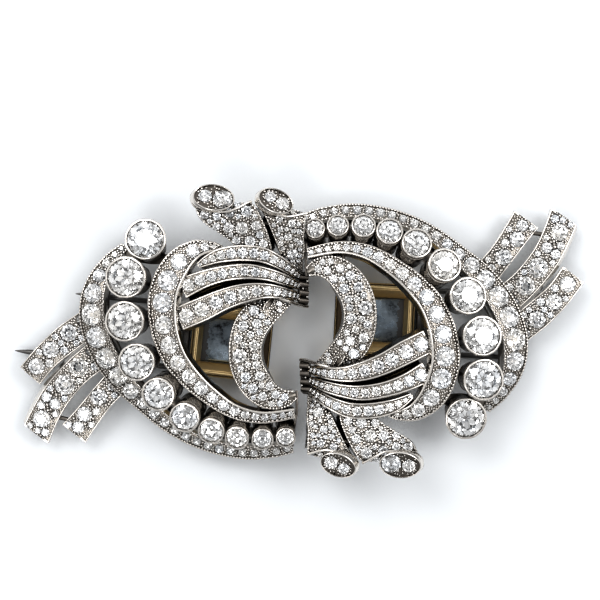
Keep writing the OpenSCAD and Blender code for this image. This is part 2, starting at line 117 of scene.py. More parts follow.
# Columns: x, y, height of the rim, rim radius, outward lean
COLLETS = (
    (-19.7, 12.0, 7.0, 2.65, 10), (-22.1, 7.2, 7.8, 2.65, 12), (-22.2, 1.7, 8.2, 2.55, 12),
    (-20.7, -3.4, 8.3, 2.38, 12), (-18.0, -7.4, 8.3, 2.15, 14), (-14.7, -10.3, 8.1, 1.94, 16),
    (-11.4, -12.0, 7.8, 1.72, 18),
    (-8.2, -12.9, 7.6, 1.56, 18), (-5.0, -13.1, 7.3, 1.42, 16), (-2.1, -12.9, 7.0, 1.3, 14))
# Columns: x, y, height of the top, half length, half width, turn of the long side
CURLS = ((-10.95, 17.07, 10.0, 2.6, 1.8, -8), (-3.27, 16.66, 9.9, 2.3, 1.6, -24))
# Place along and across the curl, and radius, of its two stones
CURL_STONES = (((-1.08, 0.12, 0.84), (1.1, 0.0, 1.22)), ((-0.82, 0.25, 0.72), (0.9, 0.1, 0.84)))
# Columns: x, y of the posts between fitting and front, height of their tops
POSTS = ((-13.5, 3.2, 7.5), (-4.5, 2.9, 6.7), (-13.7, -5.2, 7.3), (-5.2, -5.9, 7.1))
# Columns: x, y, z of one end and of the other
JOINS = (
    (-5.2, -8.2, 6.9, -5.6, -10.0, 6.6), (-2.4, -8.4, 6.4, -2.4, -9.8, 6.4),
    (-5.6, 14.2, 8.3, -4.0, 13.8, 8.2), (-31.4, -10.6, 2.4, -30.0, -10.9, 2.5))
# Points on the step under the first two collets, and the step's width and height
STEP = ((-22.7, 11.0, 3.4), (-21.3, 10.0, 4.2), (-19.2, 9.5, 4.6), (-16.6, 9.6, 5.6))
STEP_SIZE = (1.2, 0.5)
# Folded ribbon ends: y, z and radius of the folds, beads on them, and the wire below them
FOLDS = ((7.25, 4.95, 0.46), (6.3, 4.9, 0.5), (5.25, 4.85, 0.5), (4.25, 4.7, 0.46))
FOLD_BEADS = ((0.62, 6.75, 5.0), (0.6, 4.75, 4.95), (-0.42, 4.5, 5.5), (0.1, 5.8, 5.1))
FOLD_WIRE = ((0.65, 3.55, 4.4), (0.0, 3.6, 4.9), (-0.8, 3.85, 5.7), (-1.8, 4.25, 6.7), (-3.0, 4.6, 7.2))
# Walls from the crescent to the inner band, and on past the last collet to the outer band
CRESCENT_END = ((-0.75, -7.0, 6.5), (-0.72, -8.6, 6.7), (-0.75, -10.2, 6.7))
BANDS_END = ((-0.8, -10.0, 6.8), (-0.95, -11.2, 6.4), (-1.1, -12.6, 5.3), (-1.25, -14.2, 4.2))
# Raised wires on the two scrolls
SCROLL_WIRES = (
    ((-13.5, 16.7, 9.5), (-12.9, 16.2, 9.8), (-12.1, 15.7, 10.0), (-11.0, 15.35, 10.1), (-9.3, 15.25, 10.1),
     (-8.1, 15.7, 9.9), (-6.9, 16.35, 9.4), (-6.35, 16.6, 9.1)),
    ((-5.5, 16.5, 9.2), (-4.6, 15.6, 9.7), (-3.5, 15.05, 9.9), (-2.2, 14.7, 9.8), (-1.1, 14.75, 9.5),
     (0.35, 15.1, 9.0)))

# Depth of a channel and of a tail's channel, width of a channel's edges, radius of the bars between parts
CHANNEL_T, TAIL_T, EDGE_W, BAR_R = 1.2, 0.95, 0.2, 0.28
# How far a channel's metal lies below its edges, and radii of the grains on it
PAVE_FLOOR, GRAIN_R = 0.12, (0.12, 0.17)
GRAIN_TRIES = 70
# Gaps between stones, for small ones that are added and for those set first, and the smallest radius
FILL_GAP, STONE_GAP, STONE_MIN = 0.03, 0.04, 0.15
# Length along a path that is searched for a stone's neighbours
CELL_REACH = 5.0

# Wall of a collet's rim, and how much thicker it is for each millimetre of radius
COLLET_WALL, COLLET_GROWTH = 0.18, 0.06
# Cups of the first four collets and of the others: shift of the foot towards the clip's middle for each
# millimetre of depth, depth, and the foot's radius over the rim's
CUP_SHIFT, CUP_DEEP, CUP_TAPER = (0.2, 0.55), (3.0, 2.3), (0.72, 0.84)
FIRST_LEANING = 4
# The first collet leans further towards the top of the clip
FIRST_TURN = 38
CURL_TILT = -20
# Rail beside the small collets, darkened with painted shade: distance from the middles of their feet, width,
# height
RAIL_OUT, RAIL_W, RAIL_H = 1.2, 1.3, 0.35
# Share of the outer band's length after which the ledge under it starts, and the ledge's section
LEDGE_FROM = 0.5
LEDGE = ((0.3, -1.9), (-0.6, -1.9), (-0.6, -1.6), (0.3, -1.6))
SEED, SHADOW_PATCH_SEED = 11, 4

# Clip fitting, in its own frame with the prongs pointing along -X
FITTING = Matrix.Translation((-9.1, -1.0, 0)) @ Matrix.Rotation(math.radians(-6), 4, "Z")
FRAME_L, FRAME_W, FRAME_H = 10.2, 9.4, 3.4
RING_Z = 2.0
SIDE_WALL = 1.5
HINGE = (4.3, 0.82)
PIN_R, BORE_R, KNUCKLE_R = 0.35, 0.41, 0.8
BARREL = 2.8
PLATE_Z, PLATE_T = 0.45, 0.6
CROSS_L, CROSS_X = 1.5, -5.4
PRONG_Y, PRONG_Z, PRONG_R, PRONG_POINT = 4.05, 1.15, 0.36, 2.4
# Share of the point's length that is left, and radius there over the prong's
PRONG_TAPER = ((0.7, 0.88), (0.4, 0.6), (0.15, 0.34))
# Reach of the two prongs beyond the fitting's centre, for each clip
PRONG_REACH = ((20.6, 27.6), (17.8, 23.6))
# Painted shade on the frame's hinge end: half length, distance from the end, height of the top
END_SHADE = ((0.48, 0.79, FRAME_H + 0.01), (0.07, 0.06, 2.93))
# Painted shadow on the mirror plate beside the frame: x of its ragged edge and of its far side, roughness of
# the edge
PLATE_SHADOW = ((-3.05, -4.1, 0.14), (3.1, 3.65, 0.1))

# Finishes, by their place in a piece's list of materials. In the platinum pieces the second is a darker copy
# of the platinum, partly dirt and partly painted shade, and the third a still darker copy that is painted
# shade.
POLISHED, SEAT, PAINTED_SHADE = 0, 1, 2


class Shape:
    """Points, faces and finishes of one piece."""

    def __init__(self):
        self.points = []
        self.faces = []
        self.finishes = []
        self.count = 0

    def add(self, points, faces, finish=POLISHED):
        points = np.asarray(points, float)
        self.points.append(points)
        self.faces += [tuple(self.count + i for i in face) for face in faces]
        self.finishes += finish if isinstance(finish, list) else [finish] * len(faces)
        self.count += len(points)

    def moved(self, matrix):
        m = np.array(matrix)
        self.points = [p @ m[:3, :3].T + m[:3, 3] for p in self.points]
        return self


def clip_matrix(k):
    turn = Matrix.Rotation(math.radians(k * PAIR_TURN), 4, "Z")
    return Matrix.Scale(MM, 4) @ Matrix.Translation((*SHIFTS[k], 0)) @ turn


def place(k, name, shape, materials, replaced, arm=None, smooth=True):
    """Makes clip k's piece from the shape. It rides on the fronts, or on the clip's own arm."""
    name = f"{CLIPS[k]}_{name}"
    mesh = bpy.data.meshes.new(name)
    points = np.concatenate(shape.points)
    matrix = np.array(clip_matrix(k))
    points = points @ matrix[:3, :3].T + matrix[:3, 3]
    mesh.from_pydata(points.tolist(), [], shape.faces)
    for material in materials:
        mesh.materials.append(material)
    mesh.polygons.foreach_set("material_index", shape.finishes)
    if smooth:
        mesh.polygons.foreach_set("use_smooth", [True] * len(mesh.polygons))
        mesh.set_sharp_from_angle(angle=math.radians(SHARP))
    mesh.update()
    piece = bpy.data.objects.new(name, mesh)
    bpy.context.scene.collection.objects.link(piece)
    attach(piece, f"{CLIPS[k]}_{arm}" if arm else FRONTS)
    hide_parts(f"{CLIPS[k]}_{replaced}")


def unit(v):
    return v / np.linalg.norm(v, axis=-1, keepdims=True)


def spline(rows, steps):
    """Rows at even steps on the smooth curve through the given rows."""
    rows = np.array(rows, float)
    p = np.linspace(0, len(rows) - 1, steps + 1)
    i = np.minimum(p.astype(int), len(rows) - 2)
    t = (p - i)[:, None]
    a, b = rows[np.maximum(i - 1, 0)], rows[i]
    c, d = rows[i + 1], rows[np.minimum(i + 2, len(rows) - 1)]
    return (2 * b + (c - a) * t + (2 * a - 5 * b + 4 * c - d) * t ** 2 + (3 * b - a - 3 * c + d) * t ** 3) / 2


class Path:
    """Smooth surface through rows: arc length s runs along it, u across it and h above it.

    A row is x, y, height, width and, where the surface slopes, the slope. With edges=True it is x, y of both
    edges and the height."""

    def __init__(self, rows, edges=False, steps=400):
        data = spline(rows, steps)
        if edges:
            left, right = data[:, (0, 1, 4)], data[:, (2, 3, 4)]
            self.centre, self.width = (left + right) / 2, np.linalg.norm(right - left, axis=1)
            ahead = unit(np.gradient(self.centre, axis=0))
            self.side = unit(right - left)
            self.up = unit(np.cross(self.side, ahead))
        else:
            self.centre, self.width = data[:, :3], data[:, 3]
            slope = np.radians(data[:, 4:5] if data.shape[1] > 4 else np.zeros((len(data), 1)))
            ahead = unit(np.gradient(self.centre, axis=0))
            side = unit(np.cross(ahead, (0, 0, 1)))
            up = np.cross(side, ahead)
            self.side = side * np.cos(slope) - up * np.sin(slope)
            self.up = up * np.cos(slope) + side * np.sin(slope)
        self.travel = np.cross(self.up, self.side)
        self.skew = (ahead * self.side).sum(1)
        gap = np.linalg.norm(np.diff(self.centre, axis=0), axis=1)
        self.s = np.r_[0, np.cumsum(gap)]
        self.length = self.s[-1]
        self.measure = np.r_[0, np.cumsum(gap / (self.width[1:] + self.width[:-1]) * 2)]

    def get(self, s, values):
        s = np.asarray(s, float)
        if values.ndim == 1:
            return np.interp(s, self.s, values)
        return np.stack([np.interp(s, self.s, column) for column in values.T], -1)

    def at(self, s, u, h):
        u, h = np.asarray(u, float)[..., None], np.asarray(h, float)[..., None]
        return self.get(s, self.centre) + self.get(s, self.side) * u + self.get(s, self.up) * h

    def axes(self, s):
        return tuple(unit(self.get(s, v)) for v in (self.side, self.travel, self.up))

    def nearest(self, x, y):
        """Arc length and distance across of the point above x, y."""
        gap = np.array((x, y)) - self.centre[:, :2]
        side = unit(self.side[:, :2])
        across = (gap * side).sum(1)
        i = np.linalg.norm(gap - side * across[:, None], axis=1).argmin()
        return float(self.s[i]), float(across[i])


def tube(n, spans, capped=True):
    """Faces between spans + 1 rings of n points, with the first and last ring closed if capped."""
    faces = [(k * n + i, k * n + (i + 1) % n, (k + 1) * n + (i + 1) % n, (k + 1) * n + i)
             for k in range(spans) for i in range(n)]
    if capped:
        faces += [tuple(range(n - 1, -1, -1)), tuple(spans * n + i for i in range(n))]
    return faces


def hoop(n, sides, spans):
    """Faces between sides rings of n points, with the last ring joined to the first. spans is n for closed
    rings and n - 1 for open ones."""
    return [(i * n + j, (i + 1) % sides * n + j, (i + 1) % sides * n + (j + 1) % n, i * n + (j + 1) % n)
            for i in range(sides) for j in range(spans)]


def sweep(shape, path, section, steps, finish=POLISHED, span=(0, 1)):
    """Sweeps section(width), a list of [across, height] points, along the span of the path and closes it."""
    rings = []
    for at in np.linspace(span[0] * path.length, span[1] * path.length, steps + 1):
        points = np.array(section(float(path.get(at, path.width))))
        rings.append(path.at(np.full(len(points), at), points[:, 0], points[:, 1]))
    shape.add(np.concatenate(rings), tube(len(rings[0]), steps), finish)


def arc(u, h, radius, start, end, count):
    """Section points on an arc, angles in degrees."""
    return [(u + radius * math.cos(math.radians(a)), h + radius * math.sin(math.radians(a)))
            for a in np.linspace(start, end, count)]


def wire(metal, points, radius):
    """Round wire through points."""
    path = Path([(*p, 2 * radius) for p in points], steps=120)
    sweep(metal, path, lambda width: arc(0, 0, radius, 0, 330, 12), 30)


def strip(metal, points, width, height, finish):
    """Flat strip through points, its top at their height, with rounded edges."""
    path = Path([(*p, width) for p in points], steps=120)
    half, r = width / 2, min(width, height) * 0.3
    section = (arc(half - r, -height + r, r, -90, 0, 3) + arc(half - r, -r, r, 0, 90, 3)
               + arc(-half + r, -r, r, 90, 180, 3) + arc(-half + r, -height + r, r, 180, 270, 3))
    sweep(metal, path, lambda width: section, 30, finish)


def channel(rims, t, edges):
    """Section of an open channel with round wires on its two edges, going round it once. rims are the heights
    of the wires, t is the channel's depth and edges are the wires' widths."""
    floor = 0.16

    def section(width):
        half, r = width / 2, (edges[0] / 2, edges[1] / 2)
        left, right = -half + edges[0], half - edges[1]
        return ([(-half + 0.12, -t), (half - 0.12, -t), (half, -t + 0.15), (half, rims[1] - r[1])]
                + arc(half - r[1], rims[1] - r[1], r[1], 20, 160, 6)
                + [(right, rims[1] - r[1]), (right, -floor), (right, -t + 0.12),
                   (left, -t + 0.12), (left, -floor), (left, rims[0] - r[0])]
                + arc(-half + r[0], rims[0] - r[0], r[0], 20, 160, 6)
                + [(-half, rims[0] - r[0]), (-half, -t + 0.15)])
    return section


def round_brilliant():
    """Points and faces of a brilliant of girdle radius 1, with its girdle's top at height 0."""
    table_r, crown, star_r, girdle = 0.54, 0.34, 0.78, 0.04
    depth, culet_r, lower_r = 0.86, 0.06, 0.42
    step = math.pi / 8
    star_z = crown * (1 - (star_r * math.cos(step) - table_r) / (1 - table_r))
    lower_z = -girdle - depth * (1 - lower_r * math.cos(step)) / (1 - culet_r)

    def circle(radius, z, count, turn=0.0):
        angles = [turn + 2 * math.pi * i / count for i in range(count)]
        return [(radius * math.cos(a), radius * math.sin(a), z) for a in angles]

    points = (circle(table_r, crown, 8) + circle(star_r, star_z, 8, step) + circle(1, 0, 16)
              + circle(1, -girdle, 16) + circle(lower_r, lower_z, 8, step)
              + circle(culet_r, -girdle - depth, 8))
    t, s, g, b, w, c = 0, 8, 16, 32, 48, 56
    faces = [tuple(range(8)), tuple(range(c + 7, c - 1, -1))]
    for i in range(8):
        j, before = (i + 1) % 8, (i - 1) % 8
        mid, after = g + 2 * i + 1, g + (2 * i + 2) % 16
        faces += [(t + i, s + i, t + j), (t + i, s + before, g + 2 * i, s + i),
                  (s + i, g + 2 * i, mid), (s + i, mid, after),
                  (c + i, w + i, b + 2 * i, w + before),
                  (w + i, mid + 16, b + 2 * i), (w + i, after + 16, mid + 16)]
    faces += [(g + i, b + i, b + (i + 1) % 16, g + (i + 1) % 16) for i in range(16)]
    return np.array(points), faces


BRILLIANT = round_brilliant()


def add_stone(stones, at, axes, r, turn):
    """Adds a brilliant with its girdle at the point, its table facing up and turned by an angle."""
    points, faces = BRILLIANT
    side, travel, up = axes
    x = side * math.cos(turn) + travel * math.sin(turn)
    y = np.cross(up, x)
    stones.add(at + r * (points[:, :1] * x + points[:, 1:2] * y + points[:, 2:] * up), faces)


def dome(count, angles):
    """Points and faces of a rounded bead of radius 1."""
    points = [(0, 0, 1)]
    round_it = [2 * math.pi * i / count for i in range(count)]
    for a in np.radians(angles):
        points += [(math.cos(a) * math.cos(b), math.cos(a) * math.sin(b), math.sin(a)) for b in round_it]
    faces = [(0, 1 + i, 1 + (i + 1) % count) for i in range(count)]
    for row in range(len(angles) - 1):
        a, b = 1 + row * count, 1 + (row + 1) * count
        faces += [(a + i, b + i, b + (i + 1) % count, a + (i + 1) % count) for i in range(count)]
    return np.array(points), faces


BEAD = dome(8, (55, 15, -25))
GRAIN = dome(6, (45, -10))


def add_bead(metal, at, axes, r, kind=BEAD):
    points, faces = kind
    side, travel, up = axes
    metal.add(at + r * (points[:, :1] * side + points[:, 1:2] * travel + points[:, 2:] * up), faces)


def add_seat(metal, outline, angles, at, axes, r, finish=SEAT):
    """Adds the metal between an outline and a round hole of radius r, and the hole's wall."""
    side, travel, up = axes
    circle = side * np.cos(angles)[:, None] + travel * np.sin(angles)[:, None]
    lip = at + circle * (r + 0.02)
    rings = np.concatenate([outline, outline * 0.3 + lip * 0.7 - up * 0.03, lip - up * 0.06,
                            at + circle * (r * 0.9) - up * 0.5])
    metal.add(rings, tube(len(angles), 3, capped=False), finish)


def row_of_stones(path, rng, edge, share, pitch, ease=0):
    """Stones in a row along the middle of a path: arc length, distance across, radius. share is a stone's
    radius over the path's width, less by ease for each millimetre that the path is narrower than 3.5, and
    pitch the distance between two stones over the same width."""
    gems = []
    count = round(path.measure[-1] / pitch)
    for i in range(count):
        s = float(np.interp((i + 0.5) / count * path.measure[-1], path.measure, path.s))
        width = float(path.get(s, path.width))
        less = 1 - ease * max(0, 3.5 - width)
        gems.append((s, 0.0, min(share * less * width, (width / 2 - edge) * 0.96) * rng.uniform(0.9, 1)))
    return gems


def stones_at(path, places):
    return [(*path.nearest(x, y), r) for x, y, r in places]


def fill(path, gems, rng, sizes, edge):
    """The stones, and ever smaller ones where there is still room between them."""
    gems = list(gems)
    for size in sizes:
        for _ in range(int(60 * path.length)):
            s = rng.uniform(size, path.length - size)
            half = float(path.get(s, path.width)) / 2 - edge - size
            if half <= 0:
                continue
            u = rng.uniform(-half, half)
            at = path.at(s, u, 0)
            if all(np.linalg.norm(path.at(a, b, 0) - at) > size + r + FILL_GAP for a, b, r in gems):
                gems.append((s, u, size * rng.uniform(0.95, 1)))
    return gems


def eased(path, gems, edge):
    """The stones, made smaller where they would touch each other or the channel's wall."""
    at = [path.at(s, u, 0) for s, u, _ in gems]
    result = []
    for i, (s, u, r) in enumerate(gems):
        r = min(r, float(path.get(s, path.width)) / 2 - edge - abs(u) + STONE_GAP)
        for j, (_, _, other) in enumerate(gems):
            if j != i:
                gap = float(np.linalg.norm(at[i] - at[j]))
                if gap < r + other + STONE_GAP:
                    r = min(r, (gap - STONE_GAP) * r / (r + other))
        result.append((s, u, max(r, STONE_MIN)))
    return result


def clip_polygon(points, normal, limit):
    """The part of a polygon where a point's share along the normal is at most the limit."""
    values = [p @ normal - limit for p in points]
    result = []
    for i, (p, a) in enumerate(zip(points, values)):
        q, b = points[i - 1], values[i - 1]
        if (a > 0) != (b > 0):
            result.append(q + (p - q) * b / (b - a))
        if a <= 0:
            result.append(p)
    return result


def cell(path, gems, i, edge):
    """A stone's share of the surface: arc lengths and distances across of points round it, their angles seen
    from the stone, and the share's corners."""
    s0, u0, r0 = gems[i]
    lean = float(path.get(s0, path.skew))
    rise = math.sqrt(1 - lean * lean)
    run = np.linspace(max(0, s0 - CELL_REACH), min(path.length, s0 + CELL_REACH), 28)
    half = path.get(run, path.width) / 2 - edge + 0.05
    s, u = np.r_[run, run[::-1]], np.r_[half, -half[::-1]]
    outline = list(np.stack([u - u0 + lean * (s - s0), rise * (s - s0)], -1))
    for j, (s, u, r) in enumerate(gems):
        if j != i and abs(s - s0) < 2 * CELL_REACH:
            d = np.array((u - u0 + lean * (s - s0), rise * (s - s0)))
            outline = clip_polygon(outline, d, (d @ d + r0 * r0 - r * r) / 2)
    points = []
    for p, q in zip(outline, outline[1:] + outline[:1]):
        angle = abs(math.atan2(p[0] * q[1] - p[1] * q[0], p @ q))
        parts = max(1, math.ceil(angle / math.radians(16)), math.ceil(np.linalg.norm(q - p) / 0.6))
        points += [p + (q - p) * k / parts for k in range(parts)]

    def on_path(flat):
        s = s0 + flat[:, 1] / rise
        return s, u0 + flat[:, 0] - lean * (s - s0)

    points = np.array(points)
    return *on_path(points), np.arctan2(points[:, 1], points[:, 0]), zip(*on_path(np.array(outline)))


def pave(metal, stones, path, gems, rng, crown, edge, bead, clear, bare):
    """Sets stones in the path's channel, each in its own hole, with beads at the corners between stones and
    grains on the metal that is left, apart from the bare circles. crown is how much the metal swells in the
    middle, and clear how far beads and grains stay from the channel's edges."""
    inner = lambda s: np.maximum(path.get(s, path.width) / 2 - edge, 0.05)
    swell = lambda s, u: crown * (1 - np.clip(np.asarray(u) / inner(s), -1, 1) ** 2)
    surface = lambda s, u: path.at(s, u, -PAVE_FLOOR + swell(s, u))
    gems = [g for g in eased(path, gems, edge)
            if abs(g[1]) < float(path.get(g[0], path.width)) / 2 - edge - 0.1]
    spots = []
    for i, (s0, u0, r) in enumerate(gems):
        s, u, angles, corners = cell(path, gems, i, edge)
        at, axes = surface(s0, u0), path.axes(s0)
        # the seat takes the darker seat finish: partly dirt, partly painted shade
        add_seat(metal, surface(s, u), angles, at, axes, r)
        add_stone(stones, at + axes[2] * 0.02, axes, r, rng.uniform(0, math.pi))
        spots += [(a, b, bead) for a, b in corners if 0 < a < path.length and abs(b) < inner(a) - clear]
    first = len(spots)
    for _ in range(int(path.length * path.width.mean() * GRAIN_TRIES)):
        s = rng.uniform(0.05, path.length - 0.05)
        half = float(inner(s)) - max(clear, 0.02)
        spots.append((s, rng.uniform(-half, half), rng.uniform(*GRAIN_R)))
    s, u, size = np.array(spots).T
    points = surface(s, u)
    at = np.array([surface(a, b) for a, b, _ in gems + bare])
    taken = np.array([r for _, _, r in gems + bare])
    gap = (np.linalg.norm(points[:, None] - at[None], axis=2) - taken).min(1)
    size[:first] = np.clip(gap[:first] * 1.25, 0.1, bead * 1.25)
    fits = np.where(np.arange(len(size)) < first, gap > 0.05, gap > 0.4 * size)
    placed = []
    for i in np.flatnonzero(fits):
        if (np.linalg.norm(points[placed] - points[i], axis=1) < 0.85 * (size[placed] + size[i])).any():
            continue
        placed.append(i)
        axes = path.axes(s[i])
        kind = BEAD if i < first else GRAIN
        add_bead(metal, points[i] + axes[2] * 0.25 * size[i], axes, size[i], kind)


def lathe(metal, profile, at, axes, sides=48, wave=None, finish=POLISHED, shift=0.0):
    """Turns a closed profile of [radius, height] round the up axis of the axes. shift slants the axis along
    the first of them."""
    side, travel, up = axes
    rings = []
    for i in range(sides):
        a = 2 * math.pi * i / sides
        swell = 1 + (wave(a) if wave else 0)
        out = side * math.cos(a) + travel * math.sin(a)
        rings += [at + out * r * swell + (up + side * shift) * z for r, z in profile]
    metal.add(rings, hoop(len(profile), sides, len(profile)), finish)


def turned(metal, profile, start, along, sides=20, finish=POLISHED):
    """Solid turned round a line: profile of [distance, radius] from the start, closed at both ends."""
    up = unit(np.array(along, float))
    side = unit(np.cross(up, (0.31, 0.57, 0.76)))
    travel = np.cross(up, side)
    ring = [side * math.cos(a) + travel * math.sin(a) for a in np.arange(sides) * 2 * math.pi / sides]
    points = [np.array(start) + up * d + c * r for d, r in profile for c in ring]
    metal.add(points, tube(sides, len(profile) - 1), finish)


def rod(metal, start, end, radius, sides=12, tip=None):
    """Round rod, darkened with painted shade. tip is the radius at its far end."""
    start, end = np.array(start, float), np.array(end, float)
    length = float(np.linalg.norm(end - start))
    turned(metal, [(0, radius), (length, tip or radius)], start, end - start, sides, PAINTED_SHADE)


def rounded(half_l, half_w, corner, centre=(0, 0), turn=0, count=5):
    """Rounded rectangle, going round it once: x, y and the outward direction at each point."""
    points = []
    for i, (p, q) in enumerate(((1, 1), (-1, 1), (-1, -1), (1, -1))):
        for a in np.radians(np.linspace(90 * i, 90 * i + 90, count)):
            c, s = math.cos(a), math.sin(a)
            points.append((p * (half_l - corner) + corner * c, q * (half_w - corner) + corner * s, c, s))
    points, t = np.array(points), math.radians(turn)
    spin = np.array(((math.cos(t), math.sin(t)), (-math.sin(t), math.cos(t))))
    return np.c_[points[:, :2] @ spin + centre, points[:, 2:] @ spin]


def slab(metal, outline, levels, finish=POLISHED):
    """Solid of [growth, height] levels of an outline, from the bottom up."""
    points = [np.c_[outline[:, :2] + outline[:, 2:] * grow, np.full(len(outline), z)] for grow, z in levels]
    metal.add(np.concatenate(points), tube(len(outline), len(levels) - 1), finish)


def ring(metal, outline, profile):
    """Closed ring: a closed profile of [growth, height] taken round an outline."""
    points = [(x + p * grow, y + q * grow, z) for x, y, p, q in outline for grow, z in profile]
    metal.add(points, hoop(len(profile), len(outline), len(profile)))


def outward(i):
    """Angle in which collet i leans."""
    a, b = COLLETS[max(i - 1, 0)], COLLETS[min(i + 1, len(COLLETS) - 1)]
    return math.atan2(b[0] - a[0], -(b[1] - a[1])) + math.pi - (math.radians(FIRST_TURN) if i == 0 else 0)


def collet_axes(i):
    lean, angle = math.radians(COLLETS[i][4]), outward(i)
    out = np.array((math.cos(angle), math.sin(angle), 0))
    up = out * math.sin(lean) + np.array((0, 0, 1)) * math.cos(lean)
    side = out * math.cos(lean) - np.array((0, 0, 1)) * math.sin(lean)
    return side, np.cross(up, side), up


def collet_foot(i):
    """Centre of the cup's foot, and the cup's depth, shift and foot radius."""
    x, y, z, r, _ = COLLETS[i]
    side, _, up = collet_axes(i)
    kind = int(i >= FIRST_LEANING)
    deep, shift = CUP_DEEP[kind], CUP_SHIFT[kind]
    return np.array((x, y, z)) - (up + side * shift) * deep, deep, shift, r * CUP_TAPER[kind]


def collets(rng):
    """The ten bezel cups, and their stones one by one."""
    metal, stones = Shape(), []
    for i, (x, y, z, r, _) in enumerate(COLLETS):
        at, axes = np.array((x, y, z)), collet_axes(i)
        _, h, shift, foot = collet_foot(i)
        w = COLLET_WALL + COLLET_GROWTH * r
        half = (foot + r) / 2
        cup = [(foot - 0.02, -h), (foot + 0.04, -h + 0.12), (half, -h * 0.45), (r - 0.06, -0.4),
               (r - w, -0.4), (half - w, -h * 0.45), (foot - w, -h)]
        hem = [(foot + 0.02, -h + 0.02), (foot + 0.1, -h + 0.14), (foot + 0.06, -h + 0.32),
               (foot - 0.05, -h + 0.3)]
        bezel = [(r - 0.1, -0.5), (r - 0.02, -0.36), (r, -0.16), (r - 0.02, -0.05), (r - 0.08, 0.01),
                 (r - 0.15, 0.03), (r - w * 0.7, 0.03), (r - w * 0.85, -0.01), (r - w * 0.97, -0.1),
                 (r - w - 0.02, -0.2), (r - w, -0.5)]
        phase = rng.uniform(0, 6)
        wave = lambda a: 0.007 * math.cos(12 * a + phase) + 0.003 * math.cos(5 * a)
        # the cups and hems take the two darker finishes: painted shade, the seat one partly dirt
        finishes = (SEAT, PAINTED_SHADE) if i >= FIRST_LEANING else (PAINTED_SHADE, SEAT)
        lathe(metal, cup, at, axes, wave=wave, finish=finishes[0], shift=shift)
        lathe(metal, hem, at, axes, wave=wave, finish=finishes[1], shift=shift)
        lathe(metal, bezel, at, axes, wave=wave)
        stone = Shape()
        add_stone(stone, at - axes[2] * 0.16, axes, r - w - 0.02, rng.uniform(0, math.pi))
        stones.append(stone)
    return metal, stones


def root_on(path, i, side):
    """Point inside a band's wall nearest to collet i."""
    gap = np.linalg.norm(path.centre[:, :2] - np.array(COLLETS[i][:2]), axis=1)
    s = path.s[gap.argmin()]
    return path.at(s, side * (float(path.get(s, path.width)) / 2 - BAR_R), -CHANNEL_T + BAR_R)


def gallery():
    """Bars, rails, posts, folds and walls under and beside the front, most of them darkened with painted
    shade.
    """
    metal = Shape()
    outer, inner = Path(OUTER_BAND), Path(INNER_BAND)
    for i in range(len(COLLETS)):
        foot, _, _, r = collet_foot(i)
        up = collet_axes(i)[2]
        rod(metal, foot + up * 0.2, root_on(outer, i, -1), BAR_R)
        rod(metal, foot + up * 0.2, root_on(inner, i, 1), BAR_R)
        rod(metal, foot + up * 0.02, foot + up * 0.25, r * 0.95, 24)
    rail = [collet_foot(i)[0] + collet_axes(i)[0] * RAIL_OUT for i in range(FIRST_LEANING, len(COLLETS))]
    strip(metal, rail, RAIL_W, RAIL_H, PAINTED_SHADE)
    for j in JOINS:
        rod(metal, j[:3], j[3:], BAR_R)
    for x, y, z in POSTS:
        turned(metal, [(0, 0.62), (0.15, 0.6), (0.3, 0.5), (z - FRAME_H, 0.5)], (x, y, FRAME_H), (0, 0, 1))
    # wall under the outer band's inner edge, steeper beside the small collets, with a ledge along its foot,
    # all darkened with painted shade
    sweep(metal, outer, skirt(-1, 1.5, 0), 60, PAINTED_SHADE, (0, LEDGE_FROM))
    sweep(metal, outer, skirt(-1, 1.5, -0.5), 60, PAINTED_SHADE, (LEDGE_FROM, 1))
    sweep(metal, outer, lambda width: [(-width / 2 - u, h) for u, h in LEDGE], 60, PAINTED_SHADE, (LEDGE_FROM, 1))
    strip(metal, STEP, *STEP_SIZE, PAINTED_SHADE)
    base = rounded(2.2, 0.6, 0.5, (0.15, 5.75), 90, 7)
    slab(metal, base, [(-0.12, 3.4), (0, 3.55), (0, 4.3), (-0.1, 4.5), (-0.3, 4.6)], PAINTED_SHADE)
    for y, z, r in FOLDS:
        rod(metal, (-0.5, y + 0.12, z + 0.3), (0.7, y, z - 0.1), r, 16, tip=0.8 * r)
    for at in FOLD_BEADS:
        add_bead(metal, np.array(at), np.eye(3), 0.15)
    wire(metal, FOLD_WIRE, 0.24)
    strip(metal, CRESCENT_END, 0.34, 1.4, PAINTED_SHADE)
    strip(metal, BANDS_END, 0.3, 1.5, SEAT)
    return metal


def skirt(sign, drop, out, w=0.15):
    """Section of a wall of thickness w under a channel's right-hand edge, or its left-hand one for a sign of
    -1. The wall's foot is drop below the edge and out beyond it."""
    def section(width):
        half = width / 2
        points = [(half + out - w, -drop), (half + out, -drop), (half - 0.02, -0.3), (half - 0.02 - w, -0.3)]
        return points if sign > 0 else [(-u, h) for u, h in reversed(points)]
    return section


def end_walls(metal, path, t, edges):
    """Walls that close the two ends of a channel."""
    thick, top = 0.2, -0.04
    for start, end in ((0, thick), (path.length - thick, path.length)):
        along, across, heights = [], [], []
        for at in (start, end):
            half = float(path.get(at, path.width)) / 2
            left, right = -half + edges[0] / 2, half - edges[1] / 2
            along += [at] * 4
            across += [left, right, right, left]
            heights += [-t + 0.02, -t + 0.02, top, top]
        metal.add(path.at(np.array(along), np.array(across), np.array(heights)),
                  [(0, 1, 2, 3), (7, 6, 5, 4), (0, 4, 5, 1), (1, 5, 6, 2), (2, 6, 7, 3), (3, 7, 4, 0)])


